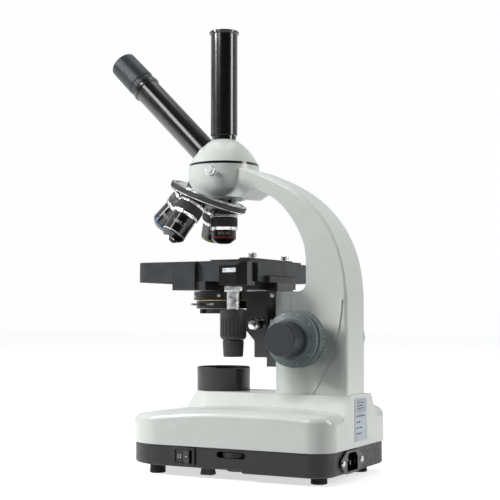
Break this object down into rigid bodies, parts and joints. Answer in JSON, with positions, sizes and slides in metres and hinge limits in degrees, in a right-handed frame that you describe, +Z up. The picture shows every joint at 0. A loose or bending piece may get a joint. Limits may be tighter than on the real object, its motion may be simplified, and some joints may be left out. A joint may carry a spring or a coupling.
{
  "type": "compound microscope",
  "caption": "Upright compound microscope with an inclined eyepiece, a straight camera tube, a turning nosepiece, a mechanical stage and a lit base.",
  "frame": {"origin": "on the table, under the middle of the microscope's outline", "axes": "+Z up, -Y towards the user's side where the eyepiece is, +Y towards the arm's back, +X to the user's right"},
  "size_m": [0.15, 0.262, 0.4095],
  "materials": {
    "white_paint": "semi-gloss off-white enamel",
    "charcoal_plastic": "matt charcoal moulding",
    "black_rubber": "matt black rubber",
    "switch_plastic": "gloss black plastic",
    "label_film": "printed label film",
    "black_enamel": "gloss black enamel",
    "satin_black": "satin black anodised look",
    "grey_teal_plastic": "satin grey-teal plastic",
    "blue_black_plastic": "satin blue-black plastic",
    "slate_enamel": "satin slate-grey enamel",
    "chrome": "polished chrome",
    "brushed_steel": "turned steel",
    "aluminium": "machined aluminium",
    "brass": "turned brass",
    "optical_glass": "polished optical glass",
    "filter_glass": "blue daylight filter glass",
    "lamp_resin": "clear yellowish LED resin",
    "transformer_iron": "varnished laminations"
  },
  "bodies": {
    "stand": {"base_cover": "white_paint", "base_tray": "charcoal_plastic", "feet": "black_rubber", "rating_label": "label_film", "switch_bezel": "switch_plastic", "inlet_body": "switch_plastic", "inlet_pins": "brushed_steel", "inlet_screws": "brushed_steel", "transformer": "transformer_iron", "led_lamp": "lamp_resin", "collector_cup": "satin_black", "collector_lens": "optical_glass", "arm": "white_paint", "nosepiece_housing": "white_paint", "seam_ring": "black_enamel", "nosepiece_boss": "satin_black", "nosepiece_plate": "chrome", "bearing_balls": "brushed_steel", "pivot_screw": "brushed_steel", "focus_bushes": "brass"},
    "head": {"head_shell": "white_paint", "head_dovetail": "satin_black", "beam_prism": "optical_glass", "vertical_tube": "black_enamel", "inclined_tube": "black_enamel"},
    "eyepiece": {"eyepiece_body": "grey_teal_plastic", "eyepiece_lenses": "optical_glass"},
    "head_lock": {"lock_screw": "chrome"},
    "nosepiece": {"rotor": "satin_black", "grip_ring": "chrome", "objective_4x": "black_enamel", "objective_10x": "black_enamel", "objective_40x": "black_enamel", "objective_100x": "black_enamel", "objective_rings": "chrome"},
    "nose_40x": {"nose_40x": "chrome"},
    "nose_100x": {"nose_100x": "chrome"},
    "coarse_slide": {"focus_block": "aluminium"},
    "carrier": {"stage_carrier": "black_enamel", "saddle": "slate_enamel"},
    "stage": {"stage_plate": "slate_enamel", "drive_housing": "black_enamel"},
    "slide_holder": {"holder_bar": "satin_black", "holder_screws": "chrome"},
    "finger": {"holder_finger": "satin_black"},
    "y_drive": {"y_shaft": "chrome", "y_knob": "charcoal_plastic"},
    "x_drive": {"x_knob": "charcoal_plastic"},
    "coarse_drive": {"coarse_shaft": "brushed_steel", "coarse_knobs": "grey_teal_plastic"},
    "fine_drive": {"fine_knobs": "blue_black_plastic"},
    "condenser": {"condenser_bracket": "black_enamel", "condenser_body": "satin_black", "condenser_lenses": "optical_glass"},
    "condenser_pinion": {"condenser_knob": "chrome"},
    "iris": {"iris_lever": "brushed_steel"},
    "filter": {"filter_holder": "satin_black", "filter_glass": "filter_glass"},
    "rocker": {"rocker": "switch_plastic"},
    "dimmer": {"dimmer_wheel": "charcoal_plastic"}
  },
  "joints": [
    {"name": "head_swivel", "type": "hinge", "parent": "stand", "child": "head", "pos_m": [0, -0.0063, 0.29], "axis": [0, 0, 1], "continuous": true},
    {"name": "head_lock_turn", "type": "hinge", "parent": "stand", "child": "head_lock", "pos_m": [0.03898, 0.0027, 0.2723], "axis": [0.9744, 0.225, 0], "range_deg": [0, 720]},
    {"name": "eyepiece_pull", "type": "slide", "parent": "head", "child": "eyepiece", "axis": [0, -0.7071, 0.7071], "range_m": [0, 0.022]},
    {"name": "nosepiece_turn", "type": "hinge", "parent": "stand", "child": "nosepiece", "pos_m": [0, -0.0063, 0.291], "axis": [0, 0.4067, 0.9135], "continuous": true},
    {"name": "nose_40x_spring", "type": "slide", "parent": "nosepiece", "child": "nose_40x", "axis": [0, 0.7431, 0.6691], "range_m": [0, 0.002], "stiffness_N_per_m": 300, "springref_m": -0.004},
    {"name": "nose_100x_spring", "type": "slide", "parent": "nosepiece", "child": "nose_100x", "axis": [-0.4067, 0.3716, 0.8346], "range_m": [0, 0.002], "stiffness_N_per_m": 300, "springref_m": -0.004},
    {"name": "stage_lift", "type": "slide", "parent": "stand", "child": "coarse_slide", "axis": [0, 0, 1], "range_m": [-0.02, 0.0035]},
    {"name": "coarse_focus", "type": "hinge", "parent": "stand", "child": "coarse_drive", "pos_m": [0, 0.0892, 0.1217], "axis": [1, 0, 0], "range_deg": [-40, 200]},
    {"name": "fine_focus", "type": "hinge", "parent": "stand", "child": "fine_drive", "pos_m": [0, 0.0892, 0.1217], "axis": [1, 0, 0], "range_deg": [-1810, 1810]},
    {"name": "fine_slide", "type": "slide", "parent": "coarse_slide", "child": "carrier", "axis": [0, 0, 1], "range_m": [-0.001, 0.001]},
    {"name": "stage_y", "type": "slide", "parent": "carrier", "child": "stage", "axis": [0, 1, 0], "range_m": [-0.02, 0.002]},
    {"name": "y_control", "type": "hinge", "parent": "stage", "child": "y_drive", "pos_m": [0.058, 0.0357, 0.135], "axis": [0, 0, 1], "range_deg": [-175, 25]},
    {"name": "stage_x", "type": "slide", "parent": "stage", "child": "slide_holder", "axis": [1, 0, 0], "range_m": [-0.022, 0.022]},
    {"name": "x_control", "type": "hinge", "parent": "stage", "child": "x_drive", "pos_m": [0.058, 0.0357, 0.115], "axis": [0, 0, 1], "range_deg": [-185, 185]},
    {"name": "finger_spring", "type": "hinge", "parent": "slide_holder", "child": "finger", "pos_m": [-0.038, 0.0385, 0.1905], "axis": [0, 0, 1], "range_deg": [-35, 0], "stiffness_Nm_per_rad": 0.05, "springref_deg": 22.92},
    {"name": "condenser_lift", "type": "slide", "parent": "carrier", "child": "condenser", "axis": [0, 0, 1], "range_m": [-0.01, 0]},
    {"name": "condenser_control", "type": "hinge", "parent": "condenser", "child": "condenser_pinion", "pos_m": [0.017, 0.0349, 0.1335], "axis": [1, 0, 0], "range_deg": [-5, 200]},
    {"name": "iris_turn", "type": "hinge", "parent": "condenser", "child": "iris", "pos_m": [0, -0.0063, 0.1519], "axis": [0, 0, 1], "range_deg": [-35, 35]},
    {"name": "filter_swing", "type": "hinge", "parent": "condenser", "child": "filter", "pos_m": [-0.0222, -0.0102, 0.146], "axis": [0, 0, 1], "range_deg": [-90, 0]},
    {"name": "switch_rock", "type": "hinge", "parent": "stand", "child": "rocker", "pos_m": [0.0662, -0.0069, 0.019], "axis": [0, 0, 1], "range_deg": [0, 20]},
    {"name": "dimmer_turn", "type": "hinge", "parent": "stand", "child": "dimmer", "pos_m": [0.057, 0.0395, 0.0223], "axis": [0, 0, 1], "range_deg": [0, 270]}
  ],
  "couplings": [
    {"joint": "coarse_focus", "follows": "stage_lift", "rad_per_m": -166.67},
    {"joint": "fine_focus", "follows": "fine_slide", "rad_per_m": 31416},
    {"joint": "y_control", "follows": "stage_y", "rad_per_m": 142.86},
    {"joint": "x_control", "follows": "stage_x", "rad_per_m": 142.86},
    {"joint": "condenser_control", "follows": "condenser_lift", "rad_per_m": -333.33}
  ]
}
